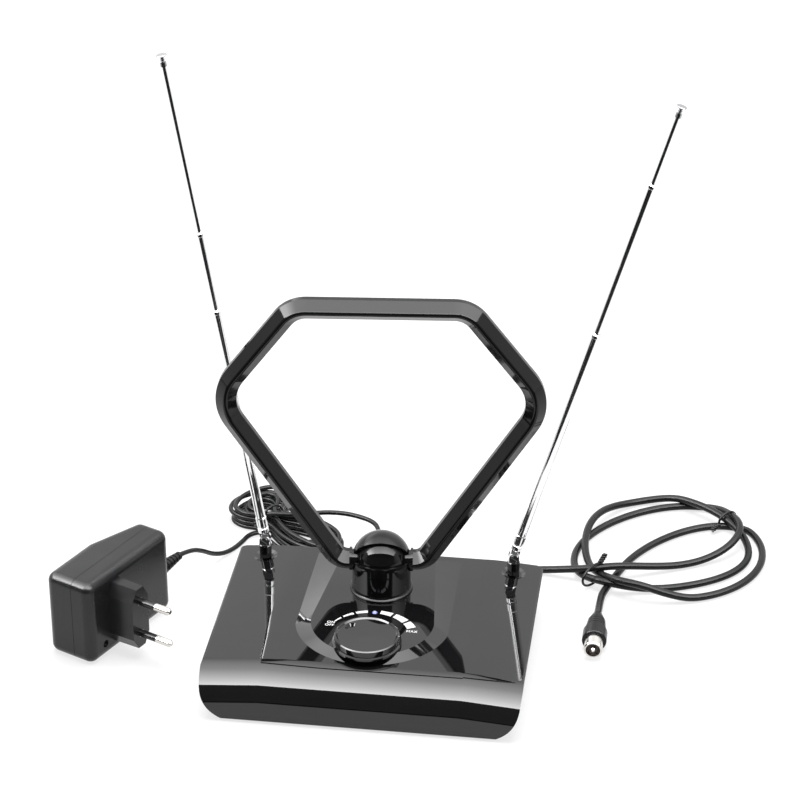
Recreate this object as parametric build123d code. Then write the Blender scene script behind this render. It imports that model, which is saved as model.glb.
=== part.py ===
from build123d import *
import os
from math import atan2, cos, degrees, radians, sin, tan

# Amplified indoor antenna: a low gloss base with a gain dial, a six-sided loop on a domed
# turret, two telescopic rods on swivel knuckles, a plug-in mains adapter and an aerial lead.
# Millimetres. Origin on the table under the middle of the base, +Z up, front at -Y.

# Sizes of the base
base_width = 160.0
base_depth = 125.0
deck_height = 26.3
crown_flat = 100.0
crown_drop = 2.34
crown_bend = 60.0
nose_radius = 20.0
corner_radius = 4.0
edge_round = 1.2
side_lean = 0.8
side_tuck = 12.0
tuck_height = 17.0
wall = 2.2
foot_height = 1.5

# Sizes of the raised console on the deck
console_rise = 2.5
console_half = 40.0
console_rear_margin = 4.8
console_rear_slope = 6.2
console_half_rear = 24.5
console_half_front = 31.0
console_front_margin = 18.0
console_front_slope = 6.0
console_sink = 0.5

# Sizes of the cover, its feet, screws and the board inside
cover_thick = 2.0
cover_gap = 0.2
foot_radius = 5.0
foot_recess = 0.5
foot_inset_x = 16.0
foot_inset_y = 13.0
post_radius = 3.4
post_inset_x = 30.0
post_inset_y = 24.0
screw_radius = 1.3
screw_head_radius = 2.6
screw_head_height = 1.2
screw_reach = 9.0
board_width = 62.0
board_thick = 1.6
board_height = 8.0
board_front_margin = 14.0
board_rear_margin = 3.2
standoff_radius = 2.6
standoff_inset = 4.5

# Sizes of the gain dial and its lamp
knob_setback = 34.5
knob_radius = 16.2
knob_rim_radius = 17.2
knob_rim_height = 1.0
knob_height = 5.0
knob_gap = 0.4
knob_dish = 0.7
knob_lip = 1.1
dimple_orbit = 11.6
dimple_angle = 142.0
dimple_long = 3.4
dimple_short = 2.1
dimple_depth = 1.3
shaft_radius = 3.0
shaft_grip = 3.0
pot_side = 16.0
pot_height = 8.0
pot_neck_radius = 4.4
pot_neck_height = 4.0
lamp_orbit = 28.0
lamp_radius = 1.5
lamp_stand = 0.7
lamp_body = 7.0
lamp_flange = 1.9
lead_wire = 0.5

# Sizes of the turret, its cap and the tilting ball
turret_setback = 37.7
turret_radius = 14.9
turret_foot_radius = 16.0
turret_foot_height = 2.6
turret_gap = 0.25
axis_rise = 16.5
shell_thick = 1.4
ball_gap = 0.3
window_low = 10.0
window_high = 63.0
seam_rear = 170.0
spigot_radius = 8.0
spigot_bore = 5.0
clip_radius = 11.0
clip_thick = 1.3
clip_gap = 0.3
journal_radius = 5.0
collar_radius = 6.0
collar_thick = 1.2
collar_start = 14.9
recess_long = 8.6
recess_short = 3.3
recess_depth = 2.0
recess_rise = 29.0
run_gap = 0.06
loop_yaw = 5.5

# Sizes of the loop, along the middle of its bar
loop_knee_x = 21.7
loop_side_x = 81.2
loop_side_rise = 92.6
loop_top_x = 43.1
loop_top_rise = 142.3
loop_knee_radius = 9.0
loop_side_radius = 21.8
loop_top_radius = 14.5
bar_half = 5.2
bar_depth = 7.8
bar_flat = 1.6
bar_skin = 1.5
ridge_round = 1.6
strip_half = 3.4
strip_thick = 0.8

# Sizes of the rods and their knuckles
rod_inset = 15.0
rod_setback = 10.0
dish_radius = 6.2
dish_floor = 4.0
dish_depth = 1.2
dish_step = 0.35
dish_ledge = 0.4
boot_low_radius = 3.1
boot_high_radius = 3.25
boot_gap = 0.3
hinge_rise = 10.4
fork_base = 2.6
fork_disc = 1.0
fork_half = 2.6
fork_cheek = 1.35
tang_half = 1.4
tang_round = 2.3
tang_gap = 0.15
stem_radius = 2.0
stem_boss = 5.0
stem_boss_drop = 2.0
stem_clip_radius = 3.8
stem_clip_thick = 1.0
pin_radius = 1.0
pin_head_radius = 2.1
pin_head_height = 1.0
pin_slot = 0.5
ferrule_low = 4.0
ferrule_seat = 8.0
ferrule_high = 13.0
ferrule_radius = 2.85
ferrule_groove = 0.35
outer_top = 134.0
outer_radius = 2.5
outer_bore = 2.15
middle_radius = 1.8
middle_bore = 1.45
middle_length = 118.0
inner_radius = 1.2
inner_length = 116.0
crimp_length = 2.5
crimp_bead = 0.3
bush_length = 6.0
slide_gap = 0.05
tip_radius = 2.6
tip_height = 6.0
tip_seat = 2.0
tip_collar = 1.6
tip_bead = 1.15
tip_neck = 0.8
left_tilt = 9.4
left_turn = 0.0
left_middle_out = 42.7
left_inner_out = 93.8
right_tilt = 16.8
right_turn = 9.6
right_middle_out = 83.8
right_inner_out = 42.1

# Sizes of the sockets in the rear wall and of the low-voltage plug
jack_x = -12.0
jack_height = 15.0
jack_width = 10.0
jack_depth = 13.0
jack_bore = 2.8
jack_collar = 4.6
barrel_radius = 2.72
barrel_length = 9.5
barrel_bore = 1.1
plug_low_radius = 5.0
plug_high_radius = 4.2
plug_length = 25.5
plug_tail = 11.5
plug_tail_radius = 3.2
plug_gap = 0.3
lead_x = 38.0
lead_height = 11.0
gland_radius = 4.6
gland_neck = 3.4
gland_flange = 1.5
gland_tail = 4.0

# Sizes of the mains adapter, in its own frame: length along x, plug towards -y
adapter_x = -134.8
adapter_setback = 48.2
adapter_turn = 65.0
adapter_near = -38.5
adapter_far = 29.0
adapter_height = 47.0
adapter_front = 11.5
adapter_rear_near = 16.5
adapter_bend_x = -3.0
adapter_bend = 16.7
adapter_rear_far = 7.5
adapter_round = 5.0
adapter_skin = 2.0
seam_gap = 0.1
seam_groove = 0.5
plug_center_x = -16.5
plug_face_half = 6.85
plug_face_high = 17.65
plug_face_flat = 11.0
plug_face_tip = 3.0
plug_rise = 15.0
pin_pitch = 19.0
mains_pin_radius = 2.0
mains_pin_length = 19.0
sleeve_length = 10.0
sleeve_radius = 1.9
pin_root = 6.0
screw_well = 2.0
screw_well_depth = 1.6
screw_well_x = -27.0
screw_well_z = 8.0
relief_y = -5.5
relief_height = 21.5
relief_length = 16.0
relief_radius = 3.6
relief_rib = 1.1
core_width = 29.0
core_depth = 16.5
core_margin = 2.4
core_seat = 0.2

# Cords, by the points that they pass, counted from the end of the piece that they leave
power_radius = 1.3
power_to_hank = [
    (0.0, 0.0, 0.0), (4.1, 8.8, -2.0), (8.1, 17.6, -7.6), (11.8, 26.0, -14.6),
    (16.1, 34.2, -19.0), (20.7, 42.1, -20.1), (24.1, 50.5, -20.0), (25.5, 58.9, -19.1), (26.3, 66.5, -17.4),
]
power_from_hank = [
    (-35.0, 19.4, -2.2), (-27.2, 18.9, -1.2), (-19.0, 17.0, -0.4), (-11.4, 13.7, 0.1),
    (-5.0, 9.8, 0.4), (-1.3, 5.1, 0.2), (0.0, 0.0, 0.0),
]
hank_height = 12.5
hank_left = (-65.0, 31.5)
hank_left_radius = 20.0
hank_right = (-32.0, 9.5)
hank_right_radius = 17.0
hank_edge = 3.0
coax_radius = 2.0
coax_to_coil = [
    (0.0, 0.0, 0.0), (0.3, 8.0, -0.6), (3.7, 15.4, -2.6), (9.9, 21.0, -5.4), (18.3, 24.1, -7.6),
    (27.8, 24.9, -8.7), (37.5, 25.7, -9.0), (47.2, 27.6, -8.9), (57.6, 31.6, -8.2),
]
coax_from_coil = [
    (2.0, 35.6, -2.0), (0.8, 27.0, -3.1), (0.2, 18.2, -3.0), (0.1, 9.0, -1.4), (0.0, 0.0, 0.0),
]
coil_offset = (104.0, 57.0)
coil_outer = 54.0
coil_inner = 35.0
coil_height = 8.0

# Sizes of the aerial plug, lying along -y
aerial_offset_x = 71.6
aerial_offset_y = -21.0
aerial_height = 6.4
aerial_tail = 6.5
aerial_tail_radius = 3.9
aerial_body = 9.5
aerial_body_radius = 5.4
aerial_cup = 8.5
aerial_cup_radius = 6.3
aerial_rib = 0.4
aerial_ring = 8.5
aerial_ring_radius = 4.75
aerial_ring_wall = 0.6
aerial_root_step = 0.4
aerial_seat = 2.0
aerial_play = 0.02
aerial_pin_radius = 1.2
aerial_pin_stand = 0.6
aerial_sleeve_sink = 2.2

# Heights and places that follow from the sizes
plate_top = deck_height + console_rise
rear_y = base_depth / 2
front_y = -base_depth / 2
knob_y = front_y + knob_setback
turret_y = rear_y - turret_setback
axis_z = plate_top + axis_rise
rod_x = base_width / 2 - rod_inset
rod_y = rear_y - rod_setback
deck_slope = crown_drop / ((base_width - crown_flat) / 2)
deck_fall = degrees(atan2(deck_slope, 1))
rod_deck = deck_height - max(0.0, rod_x - crown_flat / 2) * deck_slope
hinge_z = rod_deck + hinge_rise
cover_low = foot_height + cover_gap
cover_top = cover_low + cover_thick
cover_half = base_width / 2 - side_tuck - wall - cover_gap
cover_rear = rear_y - wall - cover_gap
board_front = front_y + board_front_margin
board_rear = rear_y - wall - board_rear_margin
board_top = board_height + board_thick
ball_radius = turret_radius - shell_thick - ball_gap
adapter_y = rear_y - adapter_setback
lead_end = Vector(lead_x, rear_y + gland_flange + gland_tail, lead_height)
supply_end = Vector(jack_x, rear_y + plug_gap + plug_length + plug_tail, jack_height)
aerial_end = Vector(lead_end.X + aerial_offset_x, lead_end.Y + aerial_offset_y, aerial_height)

nodes = {}


def arc(center, radius, start, end):
    """Arc of a circle in a sketch plane, from one angle to another in degrees."""
    middle = (start + end) / 2
    points = []
    for angle in (start, middle, end):
        x = center[0] + radius * cos(radians(angle))
        y = center[1] + radius * sin(radians(angle))
        points.append((x, y))
    return ThreePointArc(*points)


def turned(points):
    """Solid of revolution about Z from a closed outline of radius and height."""
    outline = make_face(Polyline(*points, close=True))
    return revolve(Plane.XZ * outline, Axis.Z)


def ring(radius, bore, low, high):
    """Flat ring or tube standing on Z between two heights."""
    outline = [(bore, low), (radius, low), (radius, high), (bore, high)]
    return turned(outline)


def rod_z(radius, low, high):
    """Plain cylinder on Z between two heights."""
    return Pos(0, 0, low) * Cylinder(radius, high - low, align=(Align.CENTER, Align.CENTER, Align.MIN))


def slab(x_low, x_high, y_low, y_high, z_low, z_high):
    """Box between two corners."""
    box = Box(x_high - x_low, y_high - y_low, z_high - z_low, align=(Align.MIN,) * 3)
    return Pos(x_low, y_low, z_low) * box


# The base is a crowned front outline carried from front to rear, trimmed to its rounded plan,
# with its nose and rear edge rolled over. Moved in by the wall, the same form is its hollow.


def rolled_edge(y, inward, top, radius):
    """What a rolled edge takes off: the part outside an arc that runs from the deck down a wall."""
    lift = radius * 0.002
    center = (y + inward * radius, top - radius + lift)
    high = top + 4
    out = y - inward * 4
    roll = arc(center, radius, 90, 180 if inward > 0 else 0)
    rest = Polyline((y, center[1]), (out, center[1]), (out, high), (center[0], high), (center[0], center[1] + radius))
    return extrude(Plane.YZ * make_face([roll, rest]), amount=base_width, both=True)


def base_form(inset, low):
    top = deck_height - inset
    half = base_width / 2 - inset
    rear = rear_y - inset
    front = front_y + inset
    edge = max(edge_round - inset / 2, 0.3)
    shoulder = top - crown_drop
    tuck_x = half - side_lean
    foot_x = half - side_tuck
    flank = Line((half, shoulder), (tuck_x, tuck_height))
    right = TangentArc((tuck_x, tuck_height), (foot_x, foot_height), tangent=flank % 1)
    middle = right @ 0.5
    left = ThreePointArc((-foot_x, foot_height), (-middle.X, middle.Y), (-tuck_x, tuck_height))
    under = [(foot_x, foot_height), (-foot_x, foot_height)]
    if low < foot_height:
        under = [(foot_x, foot_height), (foot_x, low), (-foot_x, low), (-foot_x, foot_height)]
    front_lines = [
        Polyline((-half, shoulder), (-crown_flat / 2, top), (crown_flat / 2, top), (half, shoulder)),
        flank,
        right,
        left,
        Line((-tuck_x, tuck_height), (-half, shoulder)),
        Polyline(*under),
    ]
    face = make_face(front_lines)
    bends = [v for v in face.vertices() if abs(v.Y - top) < 1e-6]
    face = fillet(bends, radius=crown_bend)
    rims = [v for v in face.vertices() if abs(v.Y - shoulder) < 1e-6]
    face = fillet(rims, radius=edge)
    across = extrude(Plane.XZ * face, amount=base_depth, both=True)

    corner = max(corner_radius - inset, 0.5)
    outline = RectangleRounded(2 * half, 2 * rear, corner)
    plan = Pos(0, 0, low - 1) * extrude(outline, amount=deck_height + 2)
    form = across & plan
    nose = rolled_edge(front, 1, top, nose_radius - inset)
    form -= nose
    fall = degrees(atan2(crown_drop, half - crown_flat / 2))
    for sign in (-1, 1):
        bend = Pos(sign * crown_flat / 2, 0, top)
        form -= bend * Rot(0, sign * fall, 0) * Pos(-sign * crown_flat / 2, 0, -top) * nose
    form -= rolled_edge(rear, -1, top, edge)
    return form


def console_form(inset):
    """Raised console: a loft from its outline on the deck to its smaller flat top."""
    rear = rear_y - console_rear_margin - inset
    front = front_y + console_front_margin + inset
    half = console_half - inset
    turn_y = front + half * 0.79
    lower = [
        Polyline((-half, turn_y), (-half, rear), (half, rear), (half, turn_y)),
        ThreePointArc((half, turn_y), (0, front), (-half, turn_y)),
    ]
    top_rear = rear - console_rear_slope
    top_front = front + console_front_slope
    top_half = console_half_front - inset
    top_turn = top_front + top_half
    near_half = console_half_rear - inset
    upper = [
        Polyline((-top_half, top_turn), (-near_half, top_rear), (near_half, top_rear), (top_half, top_turn)),
        ThreePointArc((top_half, top_turn), (0, top_front), (-top_half, top_turn)),
    ]
    lower_face = Pos(0, 0, deck_height - inset - console_sink) * make_face(lower)
    upper_face = Pos(0, 0, plate_top - inset) * make_face(upper)
    return loft([lower_face, upper_face], ruled=True)


post_x = base_width / 2 - post_inset_x
post_y = base_depth / 2 - post_inset_y
post_spots = [(-post_x, -post_y), (post_x, -post_y), (-post_x, post_y), (post_x, post_y)]
foot_x = cover_half - foot_inset_x + standoff_radius
foot_y = base_depth / 2 - foot_inset_y
foot_spots = [(-foot_x, -foot_y), (foot_x, -foot_y), (-foot_x, foot_y), (foot_x, foot_y)]

# Top housing: shell with console, screw posts, sockets and a dish round each rod boot
housing = base_form(0, foot_height) + console_form(0)
hollow = base_form(wall, foot_height - 1) + console_form(wall)
housing -= hollow
for x, y in post_spots:
    post = Pos(x, y, 0) * rod_z(post_radius, cover_top, deck_height - wall / 2)
    housing += post
for x, y in post_spots:
    housing -= Pos(x, y, 0) * rod_z(screw_radius + run_gap, cover_top - 1, cover_top + screw_reach + 1)
dish = [
    (0, 3), (dish_radius, 3), (dish_radius, 0), (dish_floor + dish_ledge, dish_step - dish_depth),
    (0, dish_step - dish_depth),
]
boss_low = rod_deck - wall - stem_boss_drop
for side_sign in (-1, 1):
    place = Pos(side_sign * rod_x, rod_y, 0)
    housing += place * rod_z(stem_boss, boss_low, rod_deck - wall / 2)
    housing -= place * Pos(0, 0, rod_deck) * Rot(0, side_sign * deck_fall, 0) * turned(dish)
    housing -= place * rod_z(dish_floor, rod_deck - dish_depth, rod_deck + 1)
    housing -= place * rod_z(stem_radius + run_gap, boss_low - 1, rod_deck + 1)
housing -= Pos(0, turret_y, 0) * rod_z(spigot_radius + run_gap, deck_height - 8, plate_top + 1)
housing -= Pos(0, knob_y, 0) * rod_z(shaft_radius + 0.6, deck_height - 8, plate_top + 1)
housing -= Pos(0, knob_y + lamp_orbit, 0) * rod_z(lamp_radius + 0.1, deck_height - 8, plate_top + 1)
jack_hole = Pos(jack_x, rear_y - wall / 2, jack_height) * Rot(90, 0, 0) * Cylinder(jack_collar + run_gap, wall + 2)
lead_hole = Pos(lead_x, rear_y - wall / 2, lead_height) * Rot(90, 0, 0) * Cylinder(gland_neck + run_gap, wall + 2)
housing -= jack_hole
housing -= lead_hole
nodes["top_housing"] = housing

# Bottom cover with board standoffs, screw wells and foot recesses
cover_plan = RectangleRounded(2 * cover_half, 2 * cover_rear, corner_radius - 1)
cover = Pos(0, 0, cover_low) * extrude(cover_plan, amount=cover_thick)
standoff_x = board_width / 2 - standoff_inset
standoffs = []
for x in (-standoff_x, standoff_x):
    for y in (board_front + standoff_inset, board_rear - standoff_inset):
        standoffs.append((x, y))
for x, y in standoffs:
    cover += Pos(x, y, 0) * rod_z(standoff_radius, cover_low + cover_thick / 2, board_height)
for x, y in foot_spots:
    cover -= Pos(x, y, 0) * rod_z(foot_radius + run_gap, cover_low - 1, cover_low + foot_recess)
for x, y in post_spots:
    cover -= Pos(x, y, 0) * rod_z(screw_radius + run_gap, cover_low - 1, cover_top + 1)
    cover -= Pos(x, y, 0) * rod_z(screw_head_radius + run_gap, cover_low - 1, cover_low + screw_head_height)
nodes["bottom_cover"] = cover

feet = []
for x, y in foot_spots:
    feet.append(Pos(x, y, 0) * rod_z(foot_radius, 0, cover_low + foot_recess))
nodes["rubber_feet"] = Compound(children=feet)

screw = rod_z(screw_head_radius, cover_low, cover_low + screw_head_height)
screw += rod_z(screw_radius, cover_low, cover_top + screw_reach)
screws = []
for x, y in post_spots:
    screws.append(Pos(x, y, 0) * screw)
nodes["base_screws"] = Compound(children=screws)

# Circuit board, potentiometer, lamp and the two rear sockets
board = slab(-board_width / 2, board_width / 2, board_front, board_rear, board_height, board_top)
nodes["circuit_board"] = board

pot = Pos(0, knob_y, board_top) * Box(pot_side, pot_side, pot_height, align=(Align.CENTER, Align.CENTER, Align.MIN))
pot += Pos(0, knob_y, 0) * rod_z(pot_neck_radius, board_top, board_top + pot_height + pot_neck_height)
pot -= Pos(0, knob_y, 0) * rod_z(shaft_radius + run_gap, board_top + 2, deck_height)
nodes["gain_pot"] = pot

knob_low = plate_top + knob_gap
knob_top = knob_low + knob_height
shaft_top = knob_low + shaft_grip
nodes["pot_shaft"] = Pos(0, knob_y, 0) * rod_z(shaft_radius, board_top + 2.3, shaft_top)

lamp_y = knob_y + lamp_orbit
lamp_top = plate_top + lamp_stand
lamp_low = lamp_top - lamp_body
lamp = rod_z(lamp_radius, lamp_low, lamp_top - lamp_radius / 2)
lamp += Pos(0, 0, lamp_top - lamp_radius) * Sphere(lamp_radius)
lamp += rod_z(lamp_flange, lamp_low, lamp_low + 1.0)
for x in (-0.8, 0.8):
    lamp += slab(x - lead_wire / 2, x + lead_wire / 2, -lead_wire / 2, lead_wire / 2, board_top, lamp_low + 0.5)
nodes["power_lamp"] = Pos(0, lamp_y, 0) * lamp

jack = slab(
    jack_x - jack_width / 2, jack_x + jack_width / 2, board_rear - jack_depth, board_rear + board_rear_margin,
    board_top, jack_height + jack_width / 2,
)
jack += Pos(jack_x, rear_y - wall / 2, jack_height) * Rot(90, 0, 0) * Cylinder(jack_collar, wall)
jack -= Pos(jack_x, rear_y, jack_height) * Rot(90, 0, 0) * Cylinder(jack_bore, 2 * (wall + barrel_length + 0.5))
nodes["supply_jack"] = jack

gland = Pos(lead_x, rear_y + gland_flange / 2, lead_height) * Rot(90, 0, 0) * Cylinder(gland_radius, gland_flange)
gland += Pos(lead_x, rear_y - wall / 2, lead_height) * Rot(90, 0, 0) * Cylinder(gland_neck, wall)
tail = Cone(gland_neck, coax_radius + 0.5, gland_tail, align=(Align.CENTER, Align.CENTER, Align.MIN))
gland += Pos(lead_x, rear_y + gland_flange, lead_height) * Rot(-90, 0, 0) * tail
gland += Pos(lead_x, rear_y - wall - 0.6, lead_height) * Rot(90, 0, 0) * Cylinder(gland_radius, 1.2)
nodes["coax_gland"] = gland

# Gain dial: a shallow disc with a rim below, a dished top and a finger dimple
knob_profile = [
    (0, knob_low), (knob_rim_radius, knob_low), (knob_rim_radius, knob_low + knob_rim_height),
    (knob_radius, knob_low + knob_rim_height + 0.3), (knob_radius, knob_top - 0.5),
    (knob_radius - 0.5, knob_top), (knob_radius - knob_lip, knob_top),
    (knob_radius - knob_lip - 0.6, knob_top - knob_dish), (0, knob_top - knob_dish - 0.3),
]
knob = turned(knob_profile)
knob -= rod_z(shaft_radius + 0.02, knob_low - 1, shaft_top + 0.2)
knob -= ring(knob_radius - 2.2, shaft_radius + 2.0, knob_low - 0.01, knob_top - knob_dish - 1.8)
dimple_x = dimple_orbit * cos(radians(dimple_angle))
dimple_y = dimple_orbit * sin(radians(dimple_angle))
dimple = Pos(dimple_x, dimple_y, knob_top - knob_dish) * Rot(0, 0, dimple_angle - 90)
dimple_mouth = Pos(0, 0, 0.4) * Ellipse(dimple_long + 0.3, dimple_short + 0.3)
dimple_floor = Pos(0, 0, -dimple_depth) * Ellipse(dimple_long * 0.7, dimple_short * 0.6)
knob -= dimple * loft([dimple_mouth, dimple_floor])
nodes["gain_knob"] = Pos(0, knob_y, 0) * knob

# Turret: foot, drum and the lower part of the dome, with a spherical seat.
# Two planes through the tilt axis divide it from the cap and leave a window in front.


def sector(low, high, reach, half_length):
    """Wedge about the tilt axis between two angles measured from straight ahead upward."""
    points = [(0, 0)]
    steps = 4
    for i in range(steps + 1):
        angle = radians(low + (high - low) * i / steps)
        points.append((-reach * cos(angle), reach * sin(angle)))
    outline = make_face(Polyline(*points, close=True))
    return Pos(0, 0, axis_z) * extrude(Plane.YZ * outline, amount=half_length, both=True)


foot_z = plate_top + turret_gap
seat_radius = turret_radius - shell_thick
spigot_low = plate_top - wall - clip_gap - clip_thick - 0.8
drum_lines = [
    Polyline(
        (0, spigot_low), (spigot_radius, spigot_low), (spigot_radius, foot_z), (turret_foot_radius, foot_z),
        (turret_foot_radius, foot_z + 0.5),
    ),
    ThreePointArc(
        (turret_foot_radius, foot_z + 0.5),
        (turret_radius + (turret_foot_radius - turret_radius) * 0.25, foot_z + turret_foot_height * 0.5),
        (turret_radius, foot_z + turret_foot_height),
    ),
    Line((turret_radius, foot_z + turret_foot_height), (turret_radius, axis_z)),
    arc((0, axis_z), turret_radius, 0, 90),
    Line((0, axis_z + turret_radius), (0, spigot_low)),
]
drum = revolve(Plane.XZ * make_face(drum_lines), Axis.Z)
pole_hole = Pos(0, 0, axis_z) * Rot(0, 90, 0) * Cylinder(journal_radius + run_gap, 4 * turret_radius)
drum -= Pos(0, 0, axis_z) * Sphere(seat_radius)
drum -= rod_z(spigot_bore, spigot_low - 1, axis_z)
turret = drum - sector(window_low, seam_rear, 3 * turret_radius, 2 * turret_radius) - pole_hole
dome = Pos(0, 0, axis_z) * Sphere(turret_radius) - Pos(0, 0, axis_z) * Sphere(seat_radius)
cap = (dome & sector(window_high, seam_rear, 3 * turret_radius, 2 * turret_radius)) - pole_hole
clip = ring(clip_radius, spigot_radius + 0.02, spigot_low + 0.8, spigot_low + 0.8 + clip_thick)

# Tilting ball with its two journals, collars and the oval thumb recess
ball = Pos(0, 0, axis_z) * Sphere(ball_radius)
neck_reach = collar_start + collar_thick
ball += Pos(0, 0, axis_z) * Rot(0, 90, 0) * Cylinder(journal_radius, 2 * neck_reach)
for sign in (-1, 1):
    center = sign * (collar_start + collar_thick / 2)
    ball += Pos(center, 0, axis_z) * Rot(0, 90, 0) * Cylinder(collar_radius, collar_thick)
ball -= Pos(0, 0, axis_z) * Rot(0, 90, 0) * Cylinder(journal_radius / 2, 4 * neck_reach)
aim = (0, -cos(radians(recess_rise)), sin(radians(recess_rise)))
recess_from = ball_radius - recess_depth
recess_plane = Plane(
    origin=(0, aim[1] * recess_from, axis_z + aim[2] * recess_from), x_dir=(1, 0, 0), z_dir=aim,
)
ball -= extrude(recess_plane * Ellipse(recess_long, recess_short), amount=2 * recess_depth)

# Loop: one bar path, swept by a front and a rear half section that meet at a seam
loop_points = [
    (neck_reach, 0, axis_z),
    (loop_knee_x, 0, axis_z),
    (loop_side_x, 0, axis_z + loop_side_rise),
    (loop_top_x, 0, axis_z + loop_top_rise),
    (-loop_top_x, 0, axis_z + loop_top_rise),
    (-loop_side_x, 0, axis_z + loop_side_rise),
    (-loop_knee_x, 0, axis_z),
    (-neck_reach, 0, axis_z),
]
loop_radii = [
    loop_knee_radius, loop_side_radius, loop_top_radius, loop_top_radius, loop_side_radius, loop_knee_radius,
]
loop_path = FilletPolyline(*loop_points, radius=loop_radii)
bar_plane = Plane(origin=(neck_reach, 0, axis_z), x_dir=(0, 0, 1), z_dir=(1, 0, 0))


def bar_half_section(front_sign):
    """Half of the bar's section: flanks at the seam, then two slopes to a rounded ridge."""
    y = -front_sign
    outer = make_face(Polyline(
        (-bar_half, 0), (-bar_half, y * bar_flat), (0, y * bar_depth), (bar_half, y * bar_flat), (bar_half, 0),
        close=True,
    ))
    ridge = [v for v in outer.vertices() if abs(v.X) < 1e-6 and abs(v.Y) > bar_flat + 1]
    outer = fillet(ridge, radius=ridge_round)
    half = bar_half - bar_skin
    depth = bar_depth - 1.6 * bar_skin
    inner = make_face(Polyline(
        (-half, 0), (-half, y * bar_flat * 0.8), (0, y * depth), (half, y * bar_flat * 0.8), (half, 0),
        close=True,
    ))
    return outer - inner


front_side = 1 if bar_plane.y_dir.Y > 0 else -1
front_shell = sweep(bar_plane * bar_half_section(front_side), path=loop_path)
rear_shell = sweep(bar_plane * bar_half_section(-front_side), path=loop_path)
strip_section = Rectangle(2 * strip_half, strip_thick)
strip = sweep(bar_plane * strip_section, path=loop_path)

loop_pose = Pos(0, turret_y, 0) * Rot(0, 0, loop_yaw)
nodes["turret"] = loop_pose * turret
nodes["turret_cap"] = loop_pose * cap
nodes["turret_clip"] = loop_pose * clip
nodes["loop_ball"] = loop_pose * ball
nodes["loop_front_shell"] = loop_pose * front_shell
nodes["loop_rear_shell"] = loop_pose * rear_shell
nodes["loop_conductor"] = loop_pose * strip

# Telescopic rods. Each stands on a fork that turns in the deck, hinged on a cross pin.


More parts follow.
